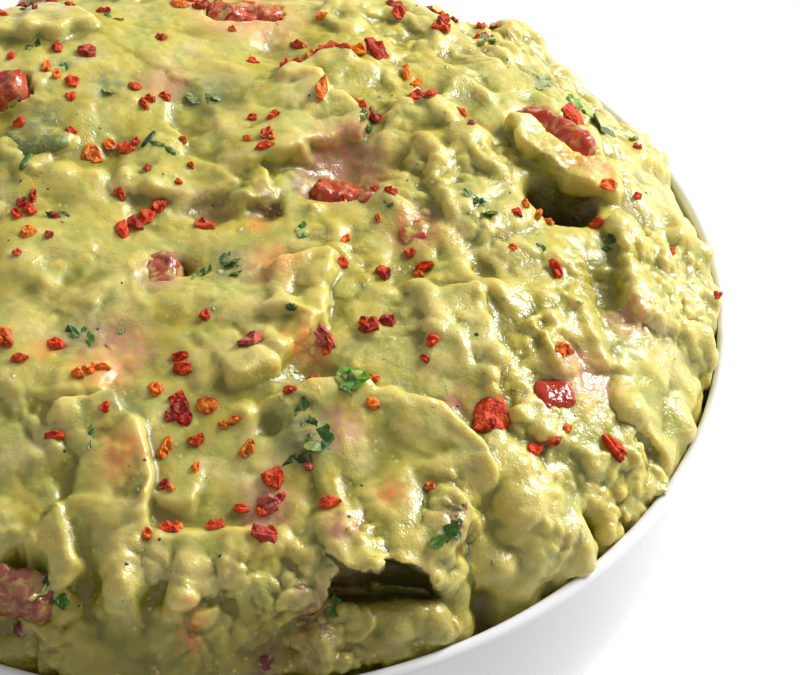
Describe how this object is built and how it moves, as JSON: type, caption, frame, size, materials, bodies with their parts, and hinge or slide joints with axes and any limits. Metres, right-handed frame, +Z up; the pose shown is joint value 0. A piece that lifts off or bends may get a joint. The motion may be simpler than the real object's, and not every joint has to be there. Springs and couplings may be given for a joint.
{
  "type": "guacamole in a bowl",
  "caption": "White footed porcelain bowl heaped over its rim with coarse guacamole, with tomato dice and chilli flakes showing.",
  "frame": {"origin": "middle of the foot ring, on the surface that the bowl stands on", "axes": "+Z up through the heap; +X and +Y across the bowl, +Y away from the viewer's side"},
  "size_m": [0.15, 0.15, 0.0938],
  "materials": {
    "white_glaze": "smooth glossy white glaze",
    "avocado": "moist mashed avocado, yellow-olive, smooth where the spoon spread it and lumpy at the edges",
    "tomato": "wet cut tomato, skin on one side"
  },
  "bodies": {
    "root": {"bowl": "white_glaze", "guacamole": "avocado", "tomato_a": "tomato", "tomato_b": "tomato", "tomato_c": "tomato", "tomato_d": "tomato", "tomato_e": "tomato", "tomato_f": "tomato", "tomato_g": "tomato", "tomato_h": "tomato", "tomato_i": "tomato"}
  },
  "joints": []
}
